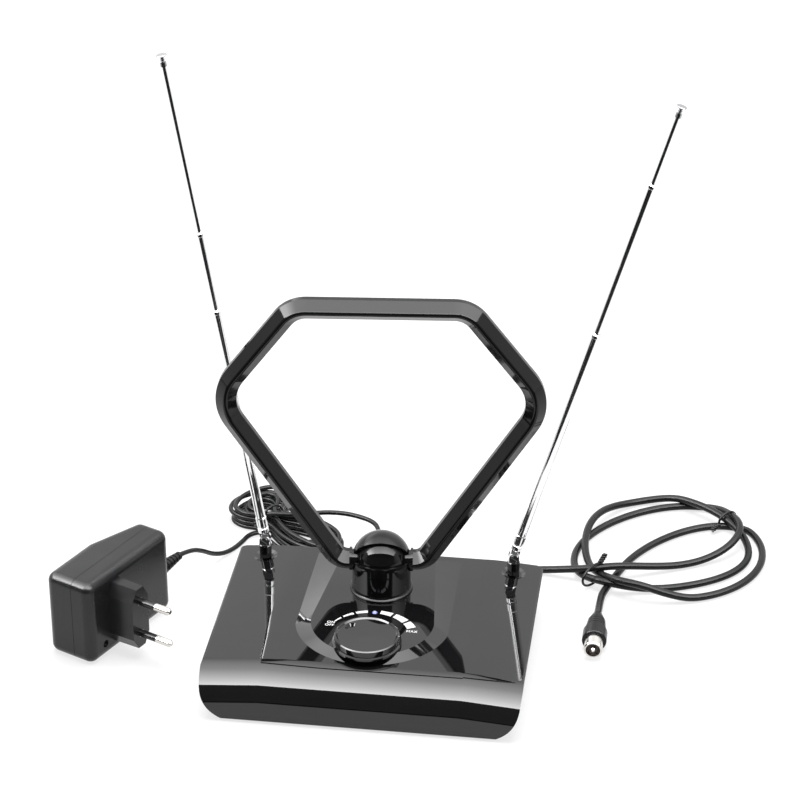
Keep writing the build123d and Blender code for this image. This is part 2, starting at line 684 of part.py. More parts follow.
def rod_pieces(name, sign, turn, tilt, middle_out, inner_out):
    """All pieces of one rod, with its boot turned, its tilt outward and its two sections drawn out."""
    base = Pos(sign * rod_x, rod_y, 0) * Rot(0, 0, turn)
    hinge = base * Pos(0, 0, hinge_z)
    boot_low = rod_deck - dish_depth + boot_gap
    boot_high = hinge_z - fork_base - fork_disc
    boot_profile = [
        (stem_radius, boot_low), (boot_low_radius, boot_low), (boot_high_radius, boot_high),
        (stem_radius, boot_high),
    ]
    nodes[name + "_boot"] = base * turned(boot_profile)

    cheek_low = -fork_base
    fork = rod_z(boot_high_radius, cheek_low - fork_disc, cheek_low)
    gap = tang_half + tang_gap
    for y in (-gap - fork_cheek, gap):
        cheek = slab(-fork_half, fork_half, y, y + fork_cheek, cheek_low - 0.1, 0)
        round_top = Pos(0, y + fork_cheek / 2, 0) * Rot(90, 0, 0) * Cylinder(fork_half, fork_cheek)
        fork += cheek + round_top
    clip_top = boss_low - clip_gap - hinge_z
    fork += rod_z(stem_radius, clip_top - stem_clip_thick - 0.6, cheek_low - fork_disc / 2)
    fork -= Rot(90, 0, 0) * Cylinder(pin_radius + 0.02, 20)
    nodes[name + "_fork"] = hinge * fork
    nodes[name + "_clip"] = hinge * ring(stem_clip_radius, stem_radius + 0.02, clip_top - stem_clip_thick, clip_top)

    face_y = gap + fork_cheek
    pin = Pos(0, -pin_head_height / 2, 0) * Rot(90, 0, 0) * Cylinder(pin_radius, 2 * face_y + pin_head_height)
    head = Pos(0, -face_y - pin_head_height / 2, 0) * Rot(90, 0, 0) * Cylinder(pin_head_radius, pin_head_height)
    pin += head
    slot = Pos(0, -face_y - pin_head_height, 0) * Rot(0, 35, 0) * Box(2 * pin_head_radius + 1, pin_slot, pin_slot)
    nodes[name + "_hinge_pin"] = hinge * (pin - slot)

    lean = hinge * Rot(0, sign * tilt, 0)
    foot = slab(-tang_round, tang_round, -tang_half, tang_half, 0, ferrule_low + 0.1)
    foot += Rot(90, 0, 0) * Cylinder(tang_round, 2 * tang_half)
    foot -= Rot(90, 0, 0) * Cylinder(pin_radius + run_gap, 20)
    groove = ferrule_radius - ferrule_groove
    foot += turned([
        (0, ferrule_low), (ferrule_radius - 0.3, ferrule_low), (ferrule_radius, ferrule_low + 0.3),
        (ferrule_radius, ferrule_low + 2.6), (groove, ferrule_low + 2.9), (groove, ferrule_low + 3.7),
        (ferrule_radius, ferrule_low + 4.0), (ferrule_radius, ferrule_high - 0.4),
        (outer_radius + 0.15, ferrule_high), (outer_radius + 0.02, ferrule_high),
        (outer_radius + 0.02, ferrule_seat), (0, ferrule_seat),
    ])
    nodes[name + "_rod_foot"] = lean * foot

    crimp = outer_top - crimp_length
    outer = turned([
        (outer_bore, ferrule_seat), (outer_radius, ferrule_seat), (outer_radius, crimp),
        (outer_radius + crimp_bead, crimp + 0.4), (outer_radius + crimp_bead, outer_top - 0.5),
        (outer_radius - 0.1, outer_top), (middle_radius + slide_gap, outer_top),
        (middle_radius + slide_gap, crimp + 0.4), (outer_bore, crimp),
    ])
    nodes[name + "_rod_outer"] = lean * outer

    middle_top = outer_top + middle_out
    low = middle_top - middle_length
    crimp = middle_top - crimp_length
    bush = outer_bore - slide_gap
    middle = turned([
        (middle_bore, low), (bush, low), (bush, low + bush_length), (middle_radius, low + bush_length + 0.3),
        (middle_radius, crimp), (middle_radius + crimp_bead, crimp + 0.4),
        (middle_radius + crimp_bead, middle_top - 0.5), (middle_radius - 0.1, middle_top),
        (inner_radius + slide_gap, middle_top), (inner_radius + slide_gap, crimp + 0.4), (middle_bore, crimp),
    ])
    nodes[name + "_rod_middle"] = lean * middle

    tip_top = middle_top + inner_out
    tip_low = tip_top - tip_height
    high = tip_low + tip_seat
    low = high - inner_length
    bush = middle_bore - slide_gap
    inner = turned([
        (0, low), (bush, low), (bush, low + bush_length - 1), (inner_radius, low + bush_length - 0.7),
        (inner_radius, high), (0, high),
    ])
    nodes[name + "_rod_inner"] = lean * inner
    tip = turned([
        (0, high + 0.02), (inner_radius + 0.02, high + 0.02), (inner_radius + 0.02, tip_low),
        (tip_collar, tip_low), (tip_collar, high + 0.3), (tip_neck, high + 0.6), (tip_neck, high + 1.0),
        (tip_bead, high + 1.3), (tip_bead, high + 1.7), (tip_neck, high + 2.0), (tip_neck, high + 2.3),
        (tip_bead, high + 2.6), (tip_bead, high + 2.9), (tip_neck, high + 3.1), (tip_neck, tip_top - 0.7),
        (tip_radius - 0.2, tip_top - 0.6), (tip_radius, tip_top - 0.4), (tip_radius, tip_top - 0.2),
        (tip_radius - 0.2, tip_top), (0, tip_top),
    ])
    nodes[name + "_rod_tip"] = lean * tip


rod_pieces("left", -1, left_turn, left_tilt, left_middle_out, left_inner_out)
rod_pieces("right", 1, right_turn, right_tilt, right_middle_out, right_inner_out)

# Low-voltage plug in the rear socket, with a tapered body and tail
plug_low = rear_y + plug_gap
body = Cone(plug_low_radius, plug_high_radius, plug_length, align=(Align.CENTER, Align.CENTER, Align.MIN))
tail = Cone(plug_tail_radius, power_radius + 0.4, plug_tail, align=(Align.CENTER, Align.CENTER, Align.MIN))
plug_axis = Pos(jack_x, plug_low, jack_height) * Rot(-90, 0, 0)
nodes["supply_plug_body"] = plug_axis * (body + Pos(0, 0, plug_length) * tail)
barrel = Cylinder(barrel_radius, barrel_length, align=(Align.CENTER, Align.CENTER, Align.MAX))
barrel -= Pos(0, 0, 1) * Cylinder(barrel_bore, barrel_length + 2, align=(Align.CENTER, Align.CENTER, Align.MAX))
nodes["supply_plug_barrel"] = plug_axis * barrel

# Mains adapter: two shells that meet at a seam, a flat two-pin plug and a ribbed relief
adapter_pose = Pos(adapter_x, adapter_y, 0) * Rot(0, 0, adapter_turn)
adapter_mid = adapter_height / 2


def adapter_rear(inset):
    plan = Polyline(
        (adapter_near + inset, seam_gap), (adapter_near + inset, adapter_rear_near - inset),
        (adapter_bend_x, adapter_bend - inset), (adapter_far - inset, adapter_rear_far - inset),
        (adapter_far - inset, seam_gap), close=True,
    )
    solid = Pos(0, 0, inset) * extrude(make_face(plan), amount=adapter_height - 2 * inset)
    long_edges = [e for e in solid.edges() if e.center().Y > seam_gap + 1]
    return fillet(long_edges, radius=adapter_round - inset)


def adapter_front_form(inset):
    length = adapter_far - adapter_near - 2 * inset
    depth = adapter_front - seam_gap - inset
    middle = (adapter_far + adapter_near) / 2
    solid = Pos(middle, -seam_gap - depth / 2, adapter_mid) * Box(length, depth, adapter_height - 2 * inset)
    edges = [e for e in solid.edges() if e.center().Y < -seam_gap - 0.5]
    return fillet(edges, radius=adapter_round - inset)


rear_shell_adapter = adapter_rear(0) - adapter_rear(adapter_skin)
nodes["adapter_rear_shell"] = adapter_pose * rear_shell_adapter

front_shell_adapter = adapter_front_form(0) - adapter_front_form(adapter_skin)
plug_outline = [
    (-plug_face_half, -plug_face_flat), (-plug_face_tip, -plug_face_high), (plug_face_tip, -plug_face_high),
    (plug_face_half, -plug_face_flat), (plug_face_half, plug_face_flat), (plug_face_tip, plug_face_high),
    (-plug_face_tip, plug_face_high), (-plug_face_half, plug_face_flat),
]
plug_plane = Plane(origin=(plug_center_x, -adapter_front + adapter_skin, adapter_mid), x_dir=(1, 0, 0), z_dir=(0, -1, 0))
plug_face = make_face(Polyline(*plug_outline, close=True))
front_shell_adapter += extrude(plug_plane * plug_face, amount=plug_rise + adapter_skin, taper=1.5)
face_y = -adapter_front - plug_rise
for sign in (-1, 1):
    z = adapter_mid + sign * pin_pitch / 2
    hole = Pos(plug_center_x, face_y, z) * Rot(90, 0, 0) * Cylinder(mains_pin_radius + 0.02, 2 * pin_root)
    front_shell_adapter -= hole
well = Pos(screw_well_x, -adapter_front, screw_well_z) * Rot(90, 0, 0) * Cylinder(screw_well, 2 * screw_well_depth)
front_shell_adapter -= well
relief_hole = Pos(adapter_far - adapter_skin / 2, relief_y, relief_height) * Rot(0, 90, 0)
front_shell_adapter -= relief_hole * Cylinder(power_radius + 0.9, 3 * adapter_skin)
nodes["adapter_front_shell"] = adapter_pose * front_shell_adapter

pins = []
sleeves = []
for sign in (-1, 1):
    z = adapter_mid + sign * pin_pitch / 2
    axis = Pos(plug_center_x, face_y, z) * Rot(90, 0, 0)
    profile = [
        (0, -pin_root + 0.1), (mains_pin_radius, -pin_root + 0.1), (mains_pin_radius, 0),
        (sleeve_radius - 0.5, 0), (sleeve_radius - 0.5, sleeve_length), (mains_pin_radius, sleeve_length),
        (mains_pin_radius, mains_pin_length - 1.2), (mains_pin_radius - 0.9, mains_pin_length),
        (0, mains_pin_length),
    ]
    pins.append(axis * turned(profile))
    sleeves.append(axis * ring(sleeve_radius, sleeve_radius - 0.48, 0.02, sleeve_length - 0.02))
nodes["adapter_pins"] = adapter_pose * Compound(children=pins)
nodes["adapter_pin_sleeves"] = adapter_pose * Compound(children=sleeves)

core_low_x = adapter_near + adapter_skin + core_margin
core_front = -adapter_front + adapter_skin + core_seat
core_low_z = adapter_skin + core_margin
core = slab(
    core_low_x, core_low_x + core_width, core_front, core_front + core_depth,
    core_low_z, adapter_height - core_low_z,
)
nodes["adapter_transformer"] = adapter_pose * core

relief_profile = [(0, -adapter_skin), (power_radius + 0.8, -adapter_skin), (power_radius + 0.8, 0)]
ribs = 6
pitch = relief_length / ribs
for i in range(ribs):
    radius = relief_radius - (relief_radius - power_radius - 0.7) * i / ribs
    start = i * pitch
    relief_profile += [
        (radius, start), (radius, start + pitch * 0.62), (radius - relief_rib * 0.6, start + pitch * 0.7),
        (radius - relief_rib * 0.6, start + pitch),
    ]
relief_profile.append((0, relief_length))
relief_pose = adapter_pose * Pos(adapter_far, relief_y, relief_height) * Rot(0, 90, 0)
nodes["adapter_relief"] = relief_pose * turned(relief_profile)


# Cords are tubes of straight runs joined by the largest tangent arcs that fit.


def cord_tube(label, start, offsets, radius):
    points = [tuple(start + Vector(*offset)) for offset in offsets]
    radii = []
    for a, b, c in zip(points, points[1:], points[2:]):
        run_in = Vector(*b) - Vector(*a)
        run_out = Vector(*c) - Vector(*b)
        half_turn = radians(run_in.get_angle(run_out) / 2)
        shorter = min(run_in.length, run_out.length)
        radii.append(0.45 * shorter / tan(half_turn))
    path = FilletPolyline(*points, radius=radii)
    heading = Vector(*points[1]) - Vector(*points[0])
    section = Plane(origin=points[0], z_dir=heading) * Circle(radius)
    tube = sweep(section, path=path)
    ratio = tube.volume / (path.length * section.area)
    print(label, "length", round(path.length, 1), "radii", [round(r, 1) for r in radii], "fill", round(ratio, 4))
    return tube


relief_end = (relief_pose * Pos(0, 0, relief_length)).position
nodes["power_cord_inner"] = cord_tube("power_cord_inner", relief_end, power_to_hank, power_radius)
nodes["power_cord_outer"] = cord_tube("power_cord_outer", supply_end, power_from_hank, power_radius)
left_lobe = Pos(supply_end.X + hank_left[0], supply_end.Y + hank_left[1]) * Circle(hank_left_radius)
right_lobe = Pos(supply_end.X + hank_right[0], supply_end.Y + hank_right[1]) * Circle(hank_right_radius)
hank_plan = make_hull((left_lobe + right_lobe).edges())
hank = extrude(hank_plan, amount=hank_height)
hank = fillet(hank.edges().group_by(Axis.Z)[-1], radius=hank_edge)
nodes["power_cord_hank"] = hank

nodes["coax_lead_inner"] = cord_tube("coax_lead_inner", lead_end, coax_to_coil, coax_radius)
nodes["coax_lead_outer"] = cord_tube("coax_lead_outer", aerial_end, coax_from_coil, coax_radius)
coil_spot = Pos(lead_end.X + coil_offset[0], lead_end.Y + coil_offset[1])
nodes["coax_coil"] = coil_spot * ring(coil_outer, coil_inner, 0, coil_height)

# Aerial plug: ribbed body with a wide cup, a bright outer ring and a centre pin
aerial_pose = Pos(aerial_end) * Rot(90, 0, 0)
shoulder = aerial_tail
cup = aerial_tail + aerial_body
cup_end = cup + aerial_cup
seat = cup + aerial_seat
root_radius = aerial_ring_radius - aerial_root_step
body_points = [(0, 0), (coax_radius + 0.5, 0), (aerial_tail_radius, aerial_tail * 0.7), (aerial_tail_radius, shoulder)]
rib_count = 4
rib_pitch = aerial_body / rib_count
for i in range(rib_count):
    start = shoulder + i * rib_pitch
    radius = aerial_tail_radius + 0.4 + (aerial_body_radius - aerial_tail_radius - 0.4) * (i + 1) / rib_count
    body_points += [
        (radius, start), (radius, start + rib_pitch * 0.65), (radius - aerial_rib, start + rib_pitch * 0.75),
        (radius - aerial_rib, start + rib_pitch),
    ]
body_points += [
    (aerial_cup_radius - 0.5, cup), (aerial_cup_radius, cup + 0.6), (aerial_cup_radius, cup_end - 0.4),
    (aerial_cup_radius - 0.4, cup_end), (root_radius + aerial_play, cup_end),
    (root_radius + aerial_play, seat), (0, seat),
]
nodes["aerial_plug_body"] = aerial_pose * turned(body_points)
ring_end = cup_end + aerial_ring
bore = root_radius - aerial_ring_wall
root = seat + aerial_play
shell = turned([
    (bore, root), (root_radius, root), (root_radius, cup_end), (aerial_ring_radius, cup_end),
    (aerial_ring_radius, ring_end - 0.5),
    (aerial_ring_radius - 0.4, ring_end), (bore, ring_end),
])
nodes["aerial_plug_ring"] = aerial_pose * shell
pin_end = ring_end + aerial_pin_stand
insulator = ring(bore - aerial_play, aerial_pin_radius + aerial_play, root, ring_end - aerial_sleeve_sink)
nodes["aerial_plug_insulator"] = aerial_pose * insulator
pin = turned([
    (0, root), (aerial_pin_radius, root), (aerial_pin_radius, pin_end - 0.8),
    (aerial_pin_radius - 0.6, pin_end), (0, pin_end),
])
nodes["aerial_plug_pin"] = aerial_pose * pin

os.makedirs("parts", exist_ok=True)
for name, solid in nodes.items():
    export_step(solid, os.path.join("parts", name + ".step"))
print(len(nodes), "nodes written")
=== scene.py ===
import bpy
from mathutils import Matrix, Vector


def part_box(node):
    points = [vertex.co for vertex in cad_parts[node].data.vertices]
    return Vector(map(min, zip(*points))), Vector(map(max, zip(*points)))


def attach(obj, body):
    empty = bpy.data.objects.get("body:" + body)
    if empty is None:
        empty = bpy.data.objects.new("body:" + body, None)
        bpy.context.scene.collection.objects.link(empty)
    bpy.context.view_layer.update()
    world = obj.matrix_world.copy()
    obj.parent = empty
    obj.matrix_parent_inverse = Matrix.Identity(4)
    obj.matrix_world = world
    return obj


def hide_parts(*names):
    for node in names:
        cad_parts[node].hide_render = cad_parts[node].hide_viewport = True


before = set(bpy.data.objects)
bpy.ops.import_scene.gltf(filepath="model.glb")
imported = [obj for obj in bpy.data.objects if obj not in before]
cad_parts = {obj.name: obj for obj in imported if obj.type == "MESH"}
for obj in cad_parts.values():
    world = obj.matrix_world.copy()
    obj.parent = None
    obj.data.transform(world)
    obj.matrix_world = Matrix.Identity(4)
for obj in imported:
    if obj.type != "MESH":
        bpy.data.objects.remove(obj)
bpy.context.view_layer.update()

import math

import bpy
from mathutils import Vector

# The studio: a white table that runs out of sight, bright air at the back and the sides, a dim room
# where the camera stands, and one wide soft box hung above the table and a little behind the antenna.
table_size = 60.0
table_glow = 0.72
air_bright = 1.2
air_dim = 0.16
dim_until = -0.75
bright_from = 0.05
box_width = 0.9
box_place = (0.0, 0.25, 1.3)
box_power = 20.0
noise_low = 0.3
noise_high = 0.7


def start_finish(name):
    finish = bpy.data.materials.new(name)
    finish.use_nodes = True
    tree = finish.node_tree
    return finish, tree, tree.nodes["Principled BSDF"]


def grain(tree, scale, detail=2.0, stretch=(1.0, 1.0, 1.0)):
    place = tree.nodes.new("ShaderNodeTexCoord")
    turn = tree.nodes.new("ShaderNodeMapping")
    turn.inputs["Scale"].default_value = stretch
    noise = tree.nodes.new("ShaderNodeTexNoise")
    noise.inputs["Scale"].default_value = scale
    noise.inputs["Detail"].default_value = detail
    tree.links.new(place.outputs["Object"], turn.inputs["Vector"])
    tree.links.new(turn.outputs["Vector"], noise.inputs["Vector"])
    return noise.outputs["Fac"]


def tint(tree, value, dark, pale, socket):
    ramp = tree.nodes.new("ShaderNodeValToRGB")
    ramp.color_ramp.elements[0].position = noise_low
    ramp.color_ramp.elements[0].color = (*dark, 1.0)
    ramp.color_ramp.elements[1].position = noise_high
    ramp.color_ramp.elements[1].color = (*pale, 1.0)
    tree.links.new(value, ramp.inputs["Fac"])
    tree.links.new(ramp.outputs["Color"], socket)


bpy.ops.object.select_all(action="DESELECT")
bpy.ops.mesh.primitive_plane_add(size=table_size)
table = bpy.context.object
table.name = "table"
paper, tree, shader = start_finish("white table")
tint(tree, grain(tree, 3.0), (0.27, 0.27, 0.27), (0.29, 0.29, 0.29), shader.inputs["Base Color"])
shader.inputs["Roughness"].default_value = 0.9
shader.inputs["Specular IOR Level"].default_value = 0.0
shader.inputs["Emission Color"].default_value = (1.0, 1.0, 1.0, 1.0)
shader.inputs["Emission Strength"].default_value = table_glow
table.data.materials.append(paper)

air = bpy.data.worlds.new("studio air")
bpy.context.scene.world = air
air.use_nodes = True
tree = air.node_tree
glow = tree.nodes["Background"]
glow.inputs["Color"].default_value = (1.0, 1.0, 1.0, 1.0)
way = tree.nodes.new("ShaderNodeTexCoord")
parts = tree.nodes.new("ShaderNodeSeparateXYZ")
fade = tree.nodes.new("ShaderNodeMapRange")
fade.interpolation_type = "SMOOTHSTEP"
fade.inputs["From Min"].default_value = dim_until
fade.inputs["From Max"].default_value = bright_from
fade.inputs["To Min"].default_value = air_dim
fade.inputs["To Max"].default_value = air_bright
tree.links.new(way.outputs["Generated"], parts.inputs["Vector"])
tree.links.new(parts.outputs["Y"], fade.inputs["Value"])
tree.links.new(fade.outputs["Result"], glow.inputs["Strength"])

softbox = bpy.data.lights.new("softbox", "AREA")
softbox.shape = "SQUARE"
softbox.size = box_width
softbox.energy = box_power
lamp = bpy.data.objects.new("softbox", softbox)
lamp.location = box_place
lamp.visible_glossy = False
bpy.context.scene.collection.objects.link(lamp)

# What polished plastic shows of the lighting: one long bright panel overhead, with a sharp edge on
# the camera's side, brightest there and at the far left, and fading into the air at the back.
def set_stops(ramp, stops):
    while len(ramp.color_ramp.elements) < len(stops):
        ramp.color_ramp.elements.new(1.0)
    for element, (place, shade) in zip(ramp.color_ramp.elements, stops):
        element.position = place
        element.color = (*shade, 1.0)


panel_front = -4.87
panel_back = 14.0
panel_width = 18.0
panel_height = 5.0
panel_power = 32.0
panel_fade = [(0.0, 1.05), (0.28, 0.33), (0.49, 0.105), (0.64, 0.082), (1.0, 0.08)]
panel_sides = [(0.20, 1.0), (0.36, 0.5), (0.50, 0.48), (0.60, 0.56)]
bpy.ops.object.select_all(action="DESELECT")
bpy.ops.mesh.primitive_plane_add(size=1.0)
light_panel = bpy.context.object
light_panel.name = "light_panel"
light_panel.dimensions = (panel_width, panel_back - panel_front, 0.0)
light_panel.location = (0.0, (panel_front + panel_back) / 2, panel_height)
panel_white, tree, shader = start_finish("panel white")
shader.inputs["Base Color"].default_value = (0.0, 0.0, 0.0, 1.0)
shader.inputs["Specular IOR Level"].default_value = 0.0
shader.inputs["Emission Strength"].default_value = panel_power
way = tree.nodes.new("ShaderNodeTexCoord")
parts = tree.nodes.new("ShaderNodeSeparateXYZ")
mix = tree.nodes.new("ShaderNodeMix")
mix.data_type = "RGBA"
mix.blend_type = "MULTIPLY"
mix.inputs["Factor"].default_value = 1.0
tree.links.new(way.outputs["Object"], parts.inputs["Vector"])
tree.links.new(mix.outputs["Result"], shader.inputs["Emission Color"])
for axis, stops, socket in (("Y", panel_fade, mix.inputs["A"]), ("X", panel_sides, mix.inputs["B"])):
    half = tree.nodes.new("ShaderNodeMath")
    half.inputs[1].default_value = 0.5
    ramp = tree.nodes.new("ShaderNodeValToRGB")
    set_stops(ramp, [(place, (light, light, light)) for place, light in stops])
    tree.links.new(parts.outputs[axis], half.inputs[0])
    tree.links.new(half.outputs["Value"], ramp.inputs["Fac"])
    tree.links.new(ramp.outputs["Color"], socket)
light_panel.data.materials.append(panel_white)
light_panel.visible_camera = False
light_panel.visible_diffuse = False
light_panel.visible_shadow = False

# A painted dark reflection: a black sheet lies on the floor before the table. The camera and the lamps never
# see it, and it shows only as a reflection in bright metal.
dark_sheet_edge = -0.20
dark_sheet_width = 12.0
dark_sheet_depth = 4.0
dark_sheet_height = 0.0005
bpy.ops.object.select_all(action="DESELECT")
bpy.ops.mesh.primitive_plane_add(size=1.0)
dark_reflection_sheet = bpy.context.object
dark_reflection_sheet.name = "dark_reflection_sheet"
dark_reflection_sheet.dimensions = (dark_sheet_width, dark_sheet_depth, 0.0)
dark_reflection_sheet.location = (0.0, dark_sheet_edge - dark_sheet_depth / 2, dark_sheet_height)
# The sheet's black is painted dark reflection, not the colour of any real thing on the table.
dark_reflection_black, tree, shader = start_finish("painted dark reflection")
tint(tree, grain(tree, 40.0), (0.010, 0.010, 0.010), (0.020, 0.020, 0.020), shader.inputs["Base Color"])
shader.inputs["Roughness"].default_value = 0.9
shader.inputs["Specular IOR Level"].default_value = 0.0
dark_reflection_sheet.data.materials.append(dark_reflection_black)
dark_reflection_sheet.visible_camera = False
dark_reflection_sheet.visible_diffuse = False
dark_reflection_sheet.visible_shadow = False

# The camera stands 1.4 m off, a little to the right, and looks down on the antenna by 29 degrees.
camera_place = Vector((0.17057, -1.18256, 0.80455))
camera_aim = Vector((-0.11600, 0.86953, -0.48006))
camera_lens = 126.99
camera_sensor = 36.0
camera_reach = 100.0
camera_data = bpy.data.cameras.new("camera")
camera_data.sensor_width = camera_sensor
camera_data.lens = camera_lens
camera_data.clip_end = camera_reach
camera = bpy.data.objects.new("camera", camera_data)
camera.location = camera_place
camera.rotation_mode = "QUATERNION"
camera.rotation_quaternion = camera_aim.to_track_quat("-Z", "Y")
bpy.context.scene.collection.objects.link(camera)
bpy.context.scene.camera = camera
bpy.context.scene.view_settings.view_transform = "Standard"


# Base: the upper shell is moulded in black plastic from a mirror-polished tool and screwed from below
# to a plain lower cover, whose outer face has a fine spark-eroded grain. The knob is moulded alike.
plastic_index = 1.53
colour_scale = 35.0
gloss_scale = 90.0


def vary(tree, value, low, high, socket):
    span = tree.nodes.new("ShaderNodeMapRange")
    span.inputs["From Min"].default_value = noise_low
    span.inputs["From Max"].default_value = noise_high
    span.inputs["To Min"].default_value = low
    span.inputs["To Max"].default_value = high
    tree.links.new(value, span.inputs["Value"])
    tree.links.new(span.outputs["Result"], socket)


def emboss(tree, value, depth, shader):
    bump = tree.nodes.new("ShaderNodeBump")
    bump.inputs["Strength"].default_value = 1.0
    bump.inputs["Distance"].default_value = depth
    tree.links.new(value, bump.inputs["Height"])
    tree.links.new(bump.outputs["Normal"], shader.inputs["Normal"])


def moulded(name, dark, pale, smooth, dull, grain_scale, grain_depth, shine=0.5):
    finish, tree, shader = start_finish(name)
    tint(tree, grain(tree, colour_scale), dark, pale, shader.inputs["Base Color"])
    vary(tree, grain(tree, gloss_scale, 4.0), smooth, dull, shader.inputs["Roughness"])
    emboss(tree, grain(tree, grain_scale), grain_depth, shader)
    shader.inputs["IOR"].default_value = plastic_index
    shader.inputs["Specular IOR Level"].default_value = shine
    return finish


def dress(finish, *names):
    for name in names:
        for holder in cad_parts[name].material_slots:
            holder.material = finish


gloss_black = moulded(
    "gloss black", (0.004, 0.004, 0.0045), (0.006, 0.006, 0.0065), 0.02, 0.05, 40.0, 0.00001,
)
dress(gloss_black, "top_housing", "gain_knob")
satin_black = moulded(
    "satin black", (0.012, 0.012, 0.013), (0.017, 0.017, 0.018), 0.34, 0.44, 2600.0, 0.00003, shine=0.25,
)
dress(satin_black, "bottom_cover", "supply_jack", "coax_gland")

# Feet and screws under the base: pressed-in discs of black rubber, and zinc-plated screws.
rubber, tree, shader = start_finish("black rubber")
tint(tree, grain(tree, 60.0), (0.010, 0.010, 0.010), (0.018, 0.018, 0.018), shader.inputs["Base Color"])
vary(tree, grain(tree, 400.0), 0.62, 0.78, shader.inputs["Roughness"])
emboss(tree, grain(tree, 1500.0), 0.00003, shader)
dress(rubber, "rubber_feet")


def bright_metal(name, dark, pale, smooth, dull, stretch):
    finish, tree, shader = start_finish(name)
    tint(tree, grain(tree, 140.0, 3.0, stretch), dark, pale, shader.inputs["Base Color"])
    vary(tree, grain(tree, 320.0, 3.0, stretch), smooth, dull, shader.inputs["Roughness"])
    emboss(tree, grain(tree, 700.0, 2.0, stretch), 0.000004, shader)
    shader.inputs["Metallic"].default_value = 1.0
    return finish


spring_steel = bright_metal(
    "zinc plated steel", (0.52, 0.51, 0.49), (0.64, 0.63, 0.60), 0.26, 0.38, (1.0, 1.0, 1.0),
)
dress(spring_steel, "base_screws")

# Inside the base: a green circuit board, the gain control in its pressed metal can with a plastic
# shaft, and the clips that hold the swivelling pieces from below.
board_green, tree, shader = start_finish("circuit board")
tint(tree, grain(tree, 900.0), (0.010, 0.085, 0.030), (0.020, 0.135, 0.050), shader.inputs["Base Color"])
vary(tree, grain(tree, 300.0), 0.30, 0.45, shader.inputs["Roughness"])
dress(board_green, "circuit_board")
pot_metal = bright_metal("pressed tin", (0.58, 0.57, 0.54), (0.70, 0.69, 0.66), 0.30, 0.42, (1.0, 1.0, 0.2))
dress(pot_metal, "gain_pot")
clip_plastic = moulded("clip plastic", (0.30, 0.29, 0.26), (0.36, 0.35, 0.32), 0.40, 0.52, 1200.0, 0.00002)
dress(clip_plastic, "pot_shaft", "left_clip", "right_clip")
dress(spring_steel, "turret_clip")

# Power lamp: a small domed lens of dark clear plastic with a lit chip under its middle, so that it
# is blue-white in the middle, blue round it and nearly black at the rim.
mm = 0.001
lens_radius = 2.0 * mm
lens_rings = [
    (0.0, (0.92, 0.95, 1.0)), (0.34, (0.62, 0.70, 1.0)), (0.56, (0.16, 0.20, 0.66)),
    (0.78, (0.012, 0.014, 0.08)), (0.92, (0.003, 0.003, 0.006)),
]
lamp_lens, tree, shader = start_finish("lit lamp lens")
lens_low, lens_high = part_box("power_lamp")
way = tree.nodes.new("ShaderNodeTexCoord")
flat = tree.nodes.new("ShaderNodeMapping")
flat.inputs["Location"].default_value = (
    -(lens_low[0] + lens_high[0]) / 2 / lens_radius, -(lens_low[1] + lens_high[1]) / 2 / lens_radius, 0.0,
)
flat.inputs["Scale"].default_value = (1.0 / lens_radius, 1.0 / lens_radius, 0.0)
reach = tree.nodes.new("ShaderNodeVectorMath")
reach.operation = "LENGTH"
ramp = tree.nodes.new("ShaderNodeValToRGB")
set_stops(ramp, lens_rings)
tree.links.new(way.outputs["Object"], flat.inputs["Vector"])
tree.links.new(flat.outputs["Vector"], reach.inputs[0])
tree.links.new(reach.outputs["Value"], ramp.inputs["Fac"])
tree.links.new(ramp.outputs["Color"], shader.inputs["Emission Color"])
tint(tree, grain(tree, 900.0), (0.004, 0.004, 0.008), (0.006, 0.006, 0.012), shader.inputs["Base Color"])
shader.inputs["Emission Strength"].default_value = 0.9
shader.inputs["Roughness"].default_value = 0.08
dress(lamp_lens, "power_lamp")

# Dial print: white pad-printed marks on the plate behind the knob, thin at the low end of the scale
# and broad at the high end, with the words for the switch and for full gain.
print_center = Vector((0.4 * mm, -21.2 * mm))
print_radius = 21.9 * mm
print_height = 28.8 * mm
print_thick = 0.03 * mm
print_join = 0.001 * mm
mark_angles = [(-61.0, -49.0), (-45.0, -29.6), (-26.1, -10.4), (6.6, 22.9), (27.0, 46.2), (50.0, 64.0)]
mark_thin = 0.6 * mm
mark_broad = 4.6 * mm
mark_steps = 12
scale_low = mark_angles[0][0]
scale_high = mark_angles[-1][1]

white_ink, tree, shader = start_finish("white ink")
tint(tree, grain(tree, 700.0), (0.78, 0.78, 0.78), (0.88, 0.88, 0.88), shader.inputs["Base Color"])
vary(tree, grain(tree, 1500.0), 0.35, 0.55, shader.inputs["Roughness"])


def lift_ink(piece):
    """Gives a flat print its thickness and sets it on the plate."""
    bpy.ops.object.select_all(action="DESELECT")
    bpy.context.view_layer.objects.active = piece
    piece.select_set(True)
    bpy.ops.object.mode_set(mode="EDIT")
    bpy.ops.mesh.select_all(action="SELECT")
    bpy.ops.mesh.remove_doubles(threshold=print_join)
    bpy.ops.mesh.extrude_region_move(TRANSFORM_OT_translate={"value": (0.0, 0.0, print_thick)})
    bpy.ops.mesh.select_all(action="SELECT")
    bpy.ops.mesh.normals_make_consistent(inside=False)
    bpy.ops.object.mode_set(mode="OBJECT")
    piece.data.materials.clear()
    piece.data.materials.append(white_ink)
    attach(piece, "base")


